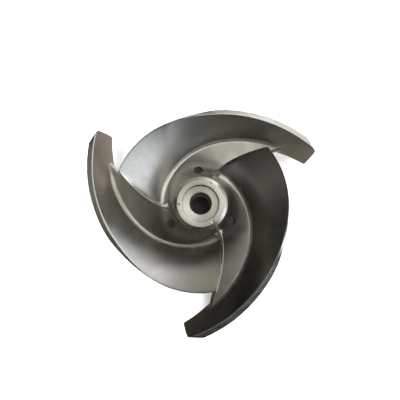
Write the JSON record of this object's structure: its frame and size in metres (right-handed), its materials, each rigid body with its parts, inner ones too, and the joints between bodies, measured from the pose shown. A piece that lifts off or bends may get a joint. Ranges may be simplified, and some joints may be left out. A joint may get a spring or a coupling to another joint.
{
  "type": "pump impeller",
  "caption": "Three-vane semi-open pump impeller with scalloped back plate, central bore and balance holes, cast in stainless steel and machined.",
  "frame": {"origin": "centroid of the casting, on its rotation axis", "axes": "+Z along the rotation axis towards the eye (inlet) side; +X and +Y in the plane of the back plate, +Y towards the picture's top"},
  "size_m": [0.2372, 0.2278, 0.0651],
  "materials": {
    "impeller_casting": "satin as-cast stainless with turned faces"
  },
  "bodies": {
    "root": {"impeller_casting": "impeller_casting"}
  },
  "joints": []
}
